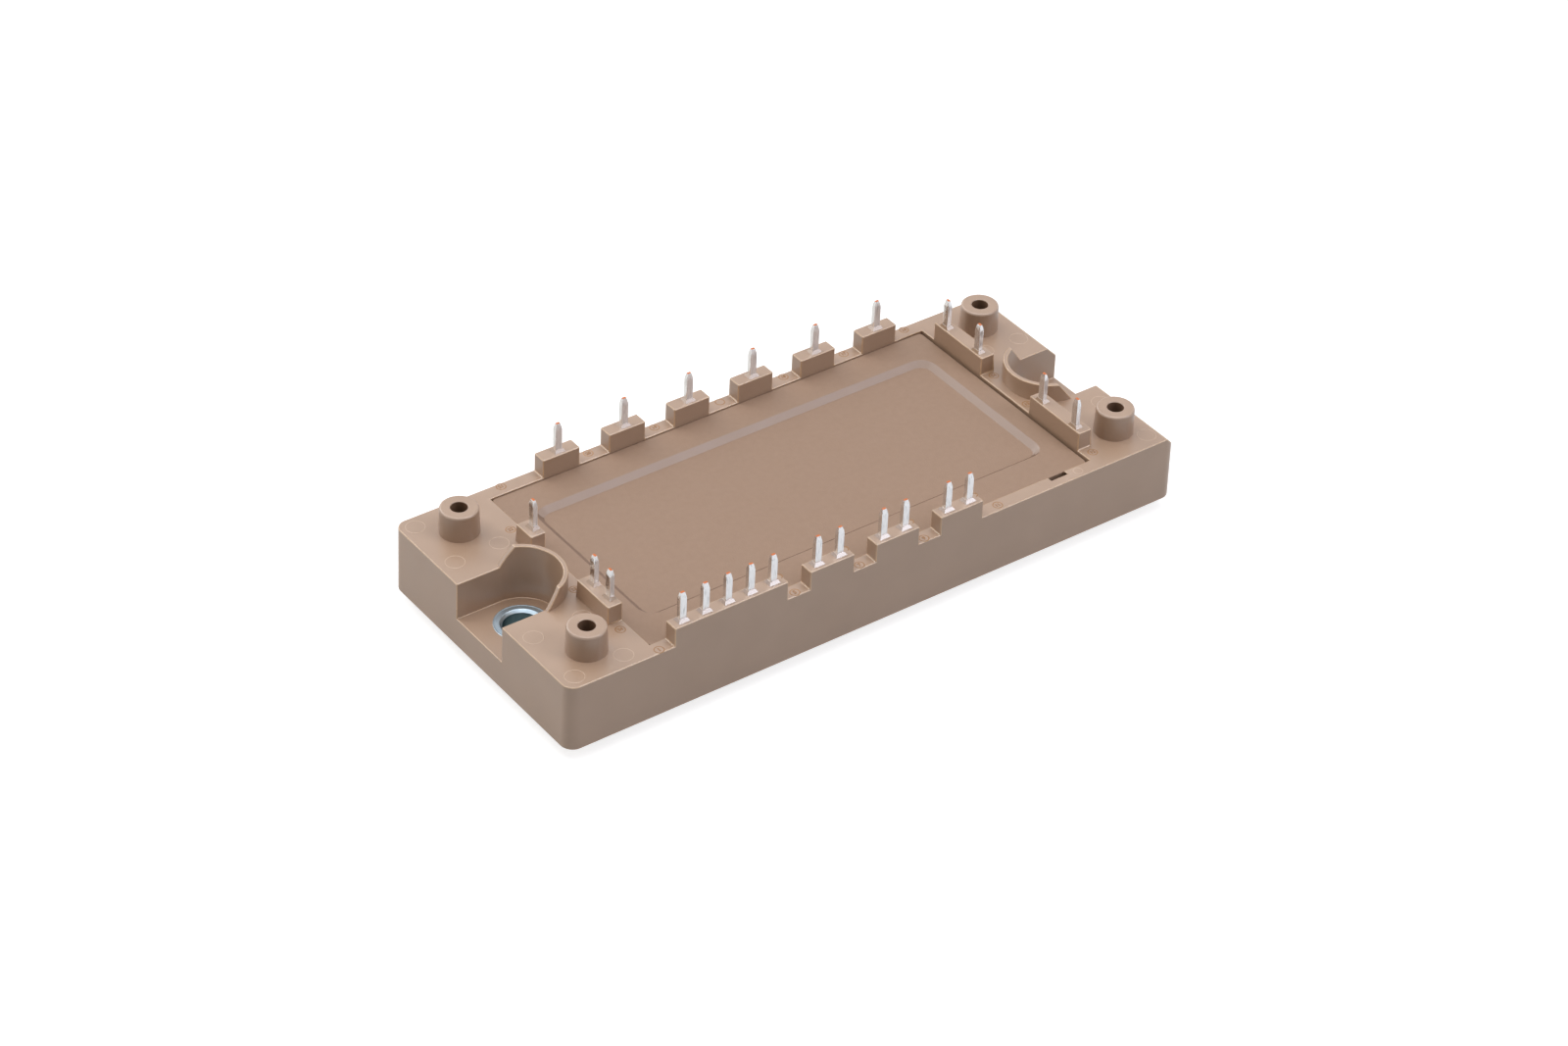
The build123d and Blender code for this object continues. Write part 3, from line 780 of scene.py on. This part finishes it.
# Painted shade: the slopes that look along +X are coloured dark.
shaded_plastic = moulded_plastic(
    "painted_slope_shade", dark=(0.20, 0.130, 0.094), light=(0.225, 0.148, 0.107),
    roughness=0.6, shine=0.2, grain_size=0.0002, grain_depth=0.00001,
)


def lid_finish(face):
    """Finish of a face: the slopes round the panel get painted shade where they look along +X or +Y."""
    steepest = 0.3
    flattest = 0.95
    if not steepest < face.normal.z < flattest:
        return lid_plastic
    if face.normal.x > 0.5:
        return shaded_plastic
    return groove_shade_plastic if face.normal.y > 0.55 else bevel_plastic


lid = rounded_copy(
    "lid", "lid_plate", lambda edge: lid_edge_radius,
    (lid_plastic, bevel_plastic, groove_shade_plastic, shaded_plastic), lid_finish,
)

# STUDIO
# A white sweep that keeps a faint shadow and is clear from below, white all round in reflections,
# and six soft boxes.
floor_size = 1.2
floor_drop = 0.0002
lamp_target = Vector((0, 0, 0.01))


def mix_shaders(tree, share, first, second):
    """Goes over from the first shader to the second as the share goes from 0 to 1."""
    mix = tree.nodes.new("ShaderNodeMixShader")
    tree.links.new(share, mix.inputs["Fac"])
    tree.links.new(first, mix.inputs[1])
    tree.links.new(second, mix.inputs[2])
    return mix.outputs["Shader"]


bpy.ops.mesh.primitive_plane_add(size=floor_size, location=(0, 0, -floor_drop))
floor = bpy.context.object
floor.name = "studio_floor"
white = bpy.data.materials.new("white_sweep")
white.use_nodes = True
tree = white.node_tree
tree.nodes.clear()
matt = tree.nodes.new("ShaderNodeBsdfDiffuse")
matt.inputs["Color"].default_value = (0.5, 0.5, 0.5, 1)
path = tree.nodes.new("ShaderNodeLightPath")
surface = matt.outputs["BSDF"]
for ray, strength in (("Is Camera Ray", 0.75), ("Is Glossy Ray", 0.4), ("Is Transmission Ray", 0.4)):
    lit = tree.nodes.new("ShaderNodeEmission")
    lit.inputs["Strength"].default_value = strength
    both = tree.nodes.new("ShaderNodeAddShader")
    tree.links.new(matt.outputs["BSDF"], both.inputs[0])
    tree.links.new(lit.outputs["Emission"], both.inputs[1])
    surface = mix_shaders(tree, path.outputs[ray], surface, both.outputs["Shader"])
facing = tree.nodes.new("ShaderNodeNewGeometry")
clear = tree.nodes.new("ShaderNodeBsdfTransparent")
surface = mix_shaders(tree, facing.outputs["Backfacing"], surface, clear.outputs["BSDF"])
output = tree.nodes.new("ShaderNodeOutputMaterial")
tree.links.new(surface, output.inputs["Surface"])
floor.data.materials.append(white)

world = bpy.data.worlds.new("studio")
bpy.context.scene.world = world
world.use_nodes = True
tree = world.node_tree
dim = tree.nodes["Background"]
dim.inputs["Color"].default_value = (1, 1, 1, 1)
dim.inputs["Strength"].default_value = 0.02
bright = tree.nodes.new("ShaderNodeBackground")
bright.inputs["Color"].default_value = (0.94, 0.98, 1.06, 1)
path = tree.nodes.new("ShaderNodeLightPath")
surface = dim.outputs["Background"]
for ray in ("Is Camera Ray", "Is Glossy Ray", "Is Transmission Ray"):
    surface = mix_shaders(tree, path.outputs[ray], surface, bright.outputs["Background"])
tree.links.new(surface, tree.nodes["World Output"].inputs["Surface"])


def soft_box(name, place, width, height, power, colour=(1, 1, 1)):
    """Rectangular lamp that points at the module's middle."""
    lamp = bpy.data.lights.new(name, "AREA")
    lamp.shape = "RECTANGLE"
    lamp.size = width
    lamp.size_y = height
    lamp.energy = power
    lamp.color = colour
    holder = bpy.data.objects.new(name, lamp)
    bpy.context.scene.collection.objects.link(holder)
    holder.location = place
    aim = lamp_target - Vector(place)
    holder.rotation_euler = aim.to_track_quat("-Z", "Y").to_euler()


soft_box("overhead", (0.0, 0.0, 0.75), width=0.9, height=0.9, power=5.2)
soft_box("back_left", (-0.35, 0.6, 0.45), width=0.6, height=0.6, power=2.5)
soft_box("back", (0.05, 0.8, 0.35), width=0.5, height=0.5, power=1.3)
soft_box("right_side", (0.75, 0.05, 0.35), width=0.5, height=0.5, power=0.6)
soft_box("left_side", (-0.8, 0.1, 0.35), width=0.5, height=0.5, power=1.15, colour=(1.0, 0.92, 0.83))
soft_box("front_right", (0.42, -0.54, 0.48), width=0.34, height=0.6, power=2.35, colour=(0.96, 0.97, 1.08))

# CAMERA
# It stands in front, to the left and above, as in the photograph. Its place, its angles and its
# focal length were worked out from points of the module that the photograph shows.
camera_place = Vector((-0.294766, -0.380471, 0.365837))
camera_azimuth = radians(-37.6435)
camera_elevation = radians(36.8709)
camera_roll = radians(2.5552)
backward = Vector((
    sin(camera_azimuth) * cos(camera_elevation),
    -cos(camera_azimuth) * cos(camera_elevation),
    sin(camera_elevation),
))
level_right = Vector((cos(camera_azimuth), sin(camera_azimuth), 0))
level_up = backward.cross(level_right)
right = cos(camera_roll) * level_right + sin(camera_roll) * level_up
upward = -sin(camera_roll) * level_right + cos(camera_roll) * level_up
camera_data = bpy.data.cameras.new("camera")
camera_data.sensor_width = 36
camera_data.lens = 95.385
camera_data.clip_start = 0.01
camera = bpy.data.objects.new("camera", camera_data)
bpy.context.scene.collection.objects.link(camera)
turned = Matrix((right, upward, backward)).transposed().to_4x4()
camera.matrix_world = Matrix.Translation(camera_place) @ turned
bpy.context.scene.camera = camera
bpy.context.scene.view_settings.view_transform = "Standard"
